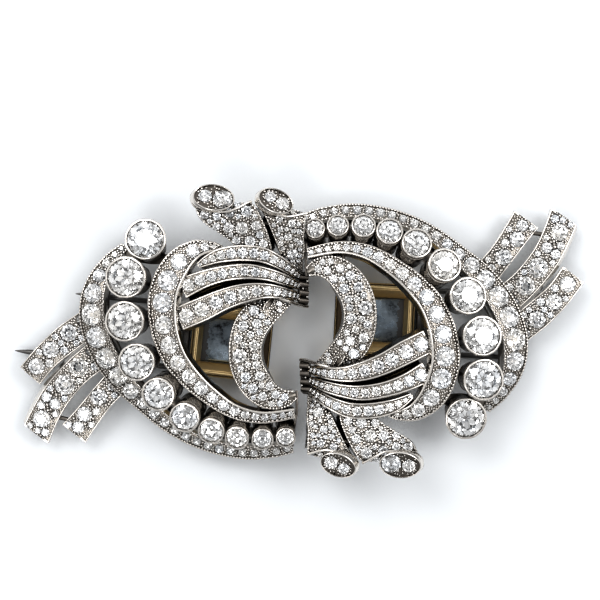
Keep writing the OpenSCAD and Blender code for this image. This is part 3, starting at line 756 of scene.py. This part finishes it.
def band(rows, rng, steps, *, rims=(0.0, 0.0), t=CHANNEL_T, edges=(EDGE_W, EDGE_W), sides=False, places=(),
         sizes=(), crown=0.15, bead=0.17, walls_from=0, clear=-0.06, bare=(), walls, **look):
    """A channel and its stones. places gives stones one by one, sizes those that fill the gaps, look a row of
    them, walls the values and finish of each skirt, and bare the circles that are left without stones."""
    path, metal, stones = Path(rows, edges=sides), Shape(), Shape()
    sweep(metal, path, channel(rims, t, edges), steps)
    end_walls(metal, path, t, edges)
    for *wall, finish in walls:
        sweep(metal, Path(rows[walls_from:], edges=sides), skirt(*wall), steps, finish)
    edge = max(edges)
    gems = stones_at(path, places) if places else row_of_stones(path, rng, edge, **look)
    bare = stones_at(path, bare)
    gems = [g for g in fill(path, gems + bare, rng, sizes, edge) if g not in bare]
    pave(metal, stones, path, gems, rng, crown, edge, bead, clear, bare)
    return metal, stones


def joined(pairs):
    """The channels as one shape, and their stones as another."""
    metal, stones = Shape(), Shape()
    for part in pairs:
        for total, piece in zip((metal, stones), part):
            total.add(np.concatenate(piece.points), piece.faces, piece.finishes)
    return metal, stones


def curl(row, pair, rng):
    """Rolled end of a scroll: an oval cup with a pair of stones."""
    x, y, z, a, b, turn = row
    metal, stones = Shape(), Shape()
    m = Matrix.Rotation(math.radians(turn), 3, "Z") @ Matrix.Rotation(math.radians(CURL_TILT), 3, "X")
    side, travel, up = (np.array(m.col[i]) for i in range(3))
    at, sides, e = np.array((x, y, z)), 56, 0.24
    # growth, height and shift of each level, from the foot up and into the cup
    profile = [(-0.5, -1.3, 0.35), (-0.1, -1.0, 0.5), (0.02, -0.6, 0.38), (0.02, -0.3, 0.16),
               (0.0, -0.1, 0), (-0.04, -0.03, 0), (-0.1, 0.0, 0), (-0.16, -0.03, 0), (-0.2, -0.12, 0),
               (-0.22, -0.6, 0)]
    lower = np.array((-0.95, -0.1, 0))
    rings = [at + side * (a + grow) * math.cos(t) + travel * (b + grow) * math.sin(t) + up * h + lower * shift
             for t in np.arange(sides) * 2 * math.pi / sides for grow, h, shift in profile]
    n = len(profile)
    metal.add(rings, hoop(n, sides, n - 1))
    metal.add([rings[i * n] for i in range(sides)], [tuple(range(sides - 1, -1, -1))])
    angles = np.arange(24) * 2 * math.pi / 24
    wide, tall = a - e + 0.06, b - e + 0.06
    split = (pair[0][0] + pair[0][2] + pair[1][0] - pair[1][2]) / 2
    for sign, (cx, cy, r) in zip((-1, 1), pair):
        outline = []
        for c, s in zip(np.cos(angles), np.sin(angles)):
            # from the stone's centre to the oval's wall or to the line between the two stones
            qa = (c / wide) ** 2 + (s / tall) ** 2
            qb = 2 * (cx * c / wide ** 2 + cy * s / tall ** 2)
            qc = (cx / wide) ** 2 + (cy / tall) ** 2 - 1
            far = (-qb + math.sqrt(qb * qb - 4 * qa * qc)) / (2 * qa)
            if c * sign < 0:
                far = min(far, (split - cx) / c)
            outline.append(at + side * (cx + far * c) + travel * (cy + far * s) - up * 0.34)
        hole = at + side * cx + travel * cy - up * 0.3
        # the cup's floor round the stones is darkened with painted shade
        add_seat(metal, np.array(outline), angles, hole, (side, travel, up), r, finish=PAINTED_SHADE)
        add_stone(stones, hole + up * 0.05, (side, travel, up), r, rng.uniform(0, 3))
        for p, q in ((-1, -1), (-1, 1), (1, -1), (1, 1)):
            out = (r + 0.05) * (side * p * 0.75 + travel * q * 0.66)
            add_bead(metal, hole + out + up * 0.05, (side, travel, up), 0.15)
    placed = []
    for _ in range(300):
        p, q, size = rng.uniform(-a, a), rng.uniform(-b, b), rng.uniform(0.12, 0.18)
        inside = (p / (a - e)) ** 2 + (q / (b - e)) ** 2 < 0.9
        if inside and all(math.hypot(p - cx, q - cy) > r + 0.5 * size for cx, cy, r in pair) \
                and all(math.hypot(p - x, q - y) > 1.1 * (size + other) for x, y, other in placed):
            placed.append((p, q, size))
            add_bead(metal, at + side * p + travel * q - up * 0.3, (side, travel, up), size, GRAIN)
    return metal, stones


def notch(metal):
    """Fold near the crescent's tip, darkened with painted shade, with the polished edge beside it."""
    path = Path(CRESCENT)
    at = path.at(*path.nearest(*NOTCH[:2]), 0.44)
    turn, up = math.radians(NOTCH[2]), path.axes(path.nearest(*NOTCH[:2])[0])[2]
    along = unit(np.cross(np.cross(up, (math.cos(turn), math.sin(turn), 0)), up))
    axes = (along * 0.85, np.cross(up, along) * 0.3, up)
    lathe(metal, [(0.01, -0.3), (1, -0.3), (1, 0.04), (0.88, 0.06), (0.84, -0.12), (0.01, -0.12)], at, axes,
          sides=28, finish=PAINTED_SHADE)
    wire(metal, [path.at(*path.nearest(x, y), 0.44) for x, y in NOTCH_EDGE], 0.1)


def clip_frame():
    """Gold frame of the clip fitting, darkened with painted shade at its hinge end."""
    metal = Shape()
    half_l, half_w = FRAME_L / 2, FRAME_W / 2
    outline = rounded(half_l, half_w, 0.6, count=7)
    # outer wire, groove, inner bar and the face that slopes down to the window
    ring(metal, outline, [
        (-1.35, RING_Z), (-0.1, RING_Z), (0, RING_Z + 0.1), (0, 2.75), (-0.05, 2.87), (-0.14, 2.92),
        (-0.23, 2.87), (-0.27, 2.72), (-0.32, 2.72), (-0.34, 3.28), (-0.4, 3.37), (-0.47, FRAME_H),
        (-0.62, FRAME_H), (-0.7, 3.36), (-0.78, 3.22), (-0.84, 3.2), (-1.3, 2.35), (-1.4, 2.2)])
    # wide bevel along the window's long sides
    bevel = ((0.9, RING_Z), (0.75, 3.1), (0.9, 3.14), (1.8, 2.5), (1.85, 2.4), (1.75, RING_Z))
    n = len(bevel)
    for sign in (-1, 1):
        wall = rounded(half_l, SIDE_WALL / 2, 0.25, (0, sign * (half_w - SIDE_WALL / 2)))
        slab(metal, wall, [(-0.1, 0), (0, 0.1), (0, RING_Z), (-0.1, RING_Z + 0.06)])
        lip = [(x, sign * (half_w - grow), z) for x in (1 - half_l, half_l - 1) for grow, z in bevel]
        metal.add(lip, [tuple(range(n)), tuple(range(2 * n - 1, n - 1, -1))]
                  + [(i, n + i, n + (i + 1) % n, (i + 1) % n) for i in range(n)])
    # near-black gold blocks on the hinge end: painted shade
    for half, inset, top in END_SHADE:
        end = rounded(half, half_w - 0.5, min(half, 0.15), (half_l - inset, 0))
        slab(metal, end, [(-0.03, 2.6), (0, 2.65), (0, top - 0.06), (-0.05, top)], SEAT)
    return metal.moved(FITTING)


def lever(k):
    """Hinged lever with its mirror plate, crossbar and two prongs."""
    metal = Shape()
    start, end, cross = CROSS_X - CROSS_L, HINGE[0] - 0.6, CROSS_X - CROSS_L / 2
    plate = rounded((end - start) / 2, BARREL, 0.3, ((start + end) / 2, 0))
    low, high = PLATE_Z, PLATE_Z + PLATE_T
    levels = [(-0.08, low), (0, low + 0.08), (0, high - 0.1), (-0.05, high - 0.02), (-0.12, high)]
    slab(metal, plate, levels, SEAT)
    ragged, across = random.Random(SHADOW_PATCH_SEED), np.linspace(-BARREL + 0.15, BARREL - 0.15, 60)
    # dark steel patches with ragged edges on the plate's top at both ends: painted shadow beside the frame
    for inner, outer, rough in PLATE_SHADOW:
        edge = [(inner + ragged.uniform(-rough, rough) + 0.1 * math.sin(5 * y), y, 0, 0) for y in across]
        patch = np.array(edge + [(outer, across[-1], 0, 0), (outer, across[0], 0, 0)])
        slab(metal, patch, [(0, high - 0.05), (0, high + 0.008)])
    bar = rounded(CROSS_L / 2, PRONG_Y + PRONG_R, 0.3, (cross, 0))
    top = PRONG_Z + PRONG_R
    slab(metal, bar, [(-0.08, low), (0, low + 0.1), (0, top - 0.2), (-0.07, top - 0.06), (-0.2, top)])
    axes = tuple(np.array(v, float) for v in ((1, 0, 0), (0, 0, -1), (0, 1, 0)))
    knuckle = [(KNUCKLE_R - 0.06, -BARREL), (KNUCKLE_R, -BARREL + 0.06), (KNUCKLE_R, BARREL - 0.06),
               (KNUCKLE_R - 0.06, BARREL), (BORE_R, BARREL), (BORE_R, -BARREL)]
    lathe(metal, knuckle, np.array((HINGE[0], 0, HINGE[1])), axes)
    for sign, reach in zip((1, -1), PRONG_REACH[k]):
        length = reach + cross
        taper = [(length - PRONG_POINT * share, PRONG_R * size) for share, size in PRONG_TAPER]
        profile = [(0, PRONG_R), (length - PRONG_POINT - 0.3, PRONG_R), *taper, (length, 0.05)]
        turned(metal, profile, (cross, sign * PRONG_Y, PRONG_Z), (-1, 0, 0), 24)
    return metal.moved(FITTING)


def hinge_pin():
    """Pin with rounded ends, a little longer than the frame is wide."""
    metal, w = Shape(), FRAME_W
    profile = [(0, 0.2), (0.05, 0.33), (0.12, PIN_R), (w + 0.08, PIN_R), (w + 0.15, 0.33), (w + 0.2, 0.2)]
    turned(metal, profile, (HINGE[0], -w / 2 - 0.1, HINGE[1]), (0, 1, 0), 28)
    return metal.moved(FITTING)


# Nodes and materials

class Tree:
    """Nodes and links of a material or world."""

    def __init__(self, owner):
        owner.use_nodes = True
        self.nodes, self.links = owner.node_tree.nodes, owner.node_tree.links

    def add(self, kind, **values):
        """New node. Each value goes to the input of that name, or else to the node's setting."""
        item = self.nodes.new("ShaderNode" + kind)
        for key, value in values.items():
            if key in item.inputs:
                item.inputs[key].default_value = value
            else:
                setattr(item, key, value)
        return item

    def link(self, source, output, target, socket):
        self.links.new(source.outputs[output], target.inputs[socket])

    def noise(self, **values):
        """Noise that stays with the piece."""
        item = self.add("TexNoise", **values)
        self.link(self.add("TexCoord"), "Object", item, "Vector")
        return item

    def half_plus(self, first, second, output):
        """Half of the first noise plus the second node's output."""
        item = self.add("Math", operation="MULTIPLY_ADD")
        self.link(first, "Fac", item, 0)
        item.inputs[1].default_value = 0.5
        self.link(second, output, item, 2)
        return item

    def ramp(self, source, output, stops):
        """Ramp of [place, colour or grey] stops on a node's output."""
        item = self.add("ValToRGB")
        self.link(source, output, item, "Fac")
        elements = item.color_ramp.elements
        while len(elements) < len(stops):
            elements.new(0.5)
        for element, (position, colour) in zip(elements, stops):
            element.position = position
            element.color = (*(colour if isinstance(colour, tuple) else (colour,) * 3), 1)
        return item


def new_material(name, values):
    """Material with values on its shader's own sockets, and its tree and shader."""
    material = bpy.data.materials.new(name)
    tree = Tree(material)
    shader = tree.nodes["Principled BSDF"]
    for key, value in values.items():
        shader.inputs[key].default_value = value
    return material, tree, shader


def metal_material(name, clean, dirt_and_shade_colour, rough, dirt_and_shade_reach=0.5, scale=1.0, strength=0.12):
    """Worn metal: clean where it is open, darker in its corners, which is painted shade and partly dirt, with
    fine scratches.
    """
    material, tree, shader = new_material(name, {"Metallic": 1})
    # ambient occlusion darkens the corners: painted shade, partly dirt
    corner = tree.add("AmbientOcclusion", samples=6, Distance=dirt_and_shade_reach * MM)
    patches = tree.noise(Scale=420 * scale, Detail=5.0, Roughness=0.65)
    dirt_and_shade = tree.half_plus(patches, corner, "AO")
    half = tuple(0.5 * (a + b) for a, b in zip(clean, dirt_and_shade_colour))
    tree.link(tree.ramp(dirt_and_shade, 0, ((0.38, dirt_and_shade_colour), (0.72, half), (1.0, clean))), "Color", shader, "Base Color")
    gloss = tree.add("MapRange")
    gloss.inputs["To Min"].default_value, gloss.inputs["To Max"].default_value = rough
    tree.link(patches, "Fac", gloss, "Value")
    tree.link(gloss, "Result", shader, "Roughness")
    bump = tree.add("Bump", Strength=strength, Distance=0.03 * MM)
    tree.link(tree.noise(Scale=2600 * scale, Detail=3.0, Roughness=0.6), "Fac", bump, "Height")
    tree.link(bump, "Normal", shader, "Normal")
    return material


def mirror_material():
    """Blue-black plate whose polish is eaten away in specks."""
    material, tree, shader = new_material("mirror_plate", {"Metallic": 1})
    specks = tree.noise(Scale=1400.0, Detail=4.0, Roughness=0.75)
    both = tree.half_plus(specks, tree.noise(Scale=260.0, Detail=2.0), "Fac")
    tone = tree.ramp(both, 0, (
        (0.72, (0.36, 0.41, 0.45)), (0.88, (0.27, 0.31, 0.35)), (0.98, (0.03, 0.03, 0.035))))
    tree.link(tone, "Color", shader, "Base Color")
    tree.link(tree.ramp(both, 0, ((0.66, 0.12), (0.88, 0.6))), "Color", shader, "Roughness")
    return material


def diamond_material():
    """Clear stones with a faint tint that changes from stone to stone."""
    material, tree, shader = new_material("diamond", {"Transmission Weight": 1, "IOR": 2.417, "Roughness": 0})
    patches = tree.noise(Scale=300.0, Detail=1.0)
    tone = tree.ramp(patches, "Fac", ((0.3, (0.93, 0.96, 1.0)), (0.5, 0.99), (0.7, (1.0, 0.98, 0.94))))
    tree.link(tone, "Color", shader, "Base Color")
    return material


# Clean colour, colour of the dirt and painted shade in the corners, roughness from and to
platinum = metal_material("platinum", (0.80, 0.77, 0.73), (0.10, 0.085, 0.07), (0.07, 0.2))
# Darker copy of the platinum for the seats and cups: partly dirt, partly painted shade
seat_metal = metal_material("platinum_seats", (0.28, 0.26, 0.235), (0.02, 0.017, 0.014), (0.16, 0.34), 0.8)
# Still darker copy of the platinum: painted shade on walls, rods, strips and cup floors in the gaps
painted_shade_platinum = metal_material("platinum_painted_shade", (0.17, 0.155, 0.14), (0.02, 0.018, 0.015), (0.2, 0.4), 0.8)
gold = metal_material("worn_gold", (0.86, 0.68, 0.39), (0.07, 0.038, 0.015), (0.3, 0.5), 0.5, 0.6, 0.06)
# Near-black gold for the painted shade on the frame's hinge end
shade_gold = metal_material("gold_painted_shade", (0.1, 0.075, 0.05), (0.015, 0.01, 0.006), (0.45, 0.6),
                         0.5, 0.6, 0.06)
steel = metal_material("steel", (0.62, 0.61, 0.60), (0.18, 0.16, 0.15), (0.2, 0.4), 0.8)
# Dark steel of the lever, also used for the painted shadow on its plate
dark_steel = metal_material("dark_steel_and_painted_shadow", (0.15, 0.145, 0.14), (0.02, 0.02, 0.02), (0.2, 0.5), 0.8, 0.8)
mirror = mirror_material()
diamond = diamond_material()
METALS = (platinum, seat_metal, painted_shade_platinum)

# Each part's channels and stones. The order of the parts is also the order of the random draws
rng = random.Random(SEED)
PARTS = {
    # most skirts take the darkest finish, painted shade that darkens the gaps between the channels
    "outer_band": band(OUTER_BAND, rng, 120, share=0.41, pitch=0.79, ease=0.14, walls=((1, 1.9, 0, PAINTED_SHADE),)),
    "inner_band": band(INNER_BAND, rng, 120, rims=(0.5, 0.0), edges=(0.34, 0.2), share=0.33, pitch=0.7,
                       walls=((1, 2.0, 0, PAINTED_SHADE),)),
    "ribbons": joined([
        band(rows, rng, 60, share=0.34, pitch=0.72, edges=(0.26, 0.26), clear=0.12,
             walls=((1, 2.0, 0.35, PAINTED_SHADE), (-1, 1.8, *upper)))
        for rows, upper in ((RIBBON_1, (0.1, PAINTED_SHADE)), (RIBBON_2, (0.1, PAINTED_SHADE)), (RIBBON_3, (0.45, POLISHED)))]),
    "crescent": band(CRESCENT, rng, 90, places=CRESCENT_STONES, sizes=(0.42, 0.34), crown=0.4,
                     walls=((-1, 2.0, 0.2, PAINTED_SHADE), (1, 2.0, 0.1, PAINTED_SHADE)), bare=(*NOTCH_ROOM, TIP_ROOM)),
    "scrolls": joined([
        band(rows, rng, 50, sides=True, places=places, sizes=sizes, crown=0.5,
             walls=((-1, 2.0, 0.3, PAINTED_SHADE), (1, 2.2, out, PAINTED_SHADE)), walls_from=1)
        for rows, places, sizes, out in ((SCROLL_A, SCROLL_A_STONES, (0.5, 0.4, 0.32), 0.2),
                                         (SCROLL_B, SCROLL_B_STONES, (0.3,), 0.45))
    ] + [curl(row, pair, rng) for row, pair in zip(CURLS, CURL_STONES)]),
    "tails": joined([
        band(rows, rng, 40, t=TAIL_T, sides=rows is TAIL_B, places=places, walls=walls, sizes=(0.55, 0.42),
             bead=0.2, clear=0.1)
        for rows, places, walls in ((TAIL_A, TAIL_A_STONES, ()),
                                    (TAIL_B, TAIL_B_STONES, ((1, 1.1, 0.42, POLISHED),)),
                                    (TAIL_C, TAIL_C_STONES, ()))]),
}
for points in SCROLL_WIRES:
    wire(PARTS["scrolls"][0], points, 0.17)
notch(PARTS["crescent"][0])
cups, main_stones = collets(rng)
under = gallery()

for k in range(len(CLIPS)):
    for name, (metal, stones) in PARTS.items():
        field = name.removesuffix("s") + "_stones"
        place(k, name, metal, METALS, "setting")
        place(k, name + "_diamonds", stones, [diamond], field, smooth=False)
    place(k, "collets", cups, METALS, "setting")
    for i, stone in enumerate(main_stones):
        name = f"stone_{i + 1:02d}"
        place(k, name + "_diamond", stone, [diamond], name, smooth=False)
    place(k, "gallery", under, METALS, "setting")
    place(k, "gold_frame", clip_frame(), [gold, shade_gold], "clip_frame")
    place(k, "lever_and_prongs", lever(k), [dark_steel, mirror], "lever", "lever_arm")
    place(k, "pin", hinge_pin(), [steel], "hinge_pin")

# Floor, lights and camera

FLOOR_HALF = 0.6
floor_mesh = bpy.data.meshes.new("floor")
corners = [(p * FLOOR_HALF, q * FLOOR_HALF, 0) for p, q in ((-1, -1), (1, -1), (1, 1), (-1, 1))]
floor_mesh.from_pydata(corners, [], [(0, 1, 2, 3)])
floor = bpy.data.objects.new("floor", floor_mesh)
bpy.context.scene.collection.objects.link(floor)
paper, _, _ = new_material("paper", {"Base Color": (0.85, 0.87, 0.89, 1), "Roughness": 0.5})
floor_mesh.materials.append(paper)


def area_light(name, at, size, power):
    """White area light that points at the middle of the floor."""
    data = bpy.data.lights.new(name, "AREA")
    data.shape = "RECTANGLE"
    data.size, data.size_y = size
    data.energy = power
    lamp = bpy.data.objects.new(name, data)
    lamp.location = at
    lamp.rotation_euler = (Vector() - Vector(at)).to_track_quat("-Z", "Y").to_euler()
    bpy.context.scene.collection.objects.link(lamp)


area_light("top_left", (-0.20, 0.22, 0.40), (0.20, 0.20), 0.75)
area_light("top_right", (0.26, 0.10, 0.36), (0.20, 0.14), 0.55)
area_light("near", (-0.12, -0.20, 0.44), (0.16, 0.10), 0.35)

world = bpy.data.worlds.new("studio")
bpy.context.scene.world = world
tree = Tree(world)
split = tree.add("SeparateXYZ")
tree.link(tree.add("TexCoord"), "Generated", split, 0)
sky = tree.ramp(split, "Z", (
    (0.0, 0.3), (0.22, 0.6), (0.32, 1.5), (0.62, 1.7), (0.74, 1.7), (0.93, 1.5), (0.97, (0.85, 0.87, 0.9)),
    (0.99, (0.45, 0.48, 0.52))))
# darker on the near side
raised = tree.add("Math", operation="ADD")
tree.link(split, "Y", raised, 0)
raised.inputs[1].default_value = 0.75
near_side = tree.ramp(raised, 0, ((0.0, 0.55), (0.3, 0.6), (0.55, 1.0)))
both = tree.add("VectorMath", operation="MULTIPLY")
tree.link(sky, "Color", both, 0)
tree.link(near_side, "Color", both, 1)
tree.link(both, 0, tree.nodes["Background"], "Color")

# Sensor width in millimetres, picture width and focal length in pixels
SENSOR, PIXELS, FOCAL = 36.0, 600, 1681.25
CAMERA_AT = (0.197, 3.871, 217.48)
camera_data = bpy.data.cameras.new("camera")
camera_data.sensor_width = SENSOR
camera_data.lens = FOCAL / PIXELS * SENSOR
camera_data.clip_start, camera_data.clip_end = 0.01, 5
camera = bpy.data.objects.new("camera", camera_data)
camera.location = [c * MM for c in CAMERA_AT]
bpy.context.scene.collection.objects.link(camera)
bpy.context.scene.camera = camera
view = bpy.context.scene.view_settings
view.view_transform = "Standard"
view.exposure, view.gamma = -0.5, 0.75
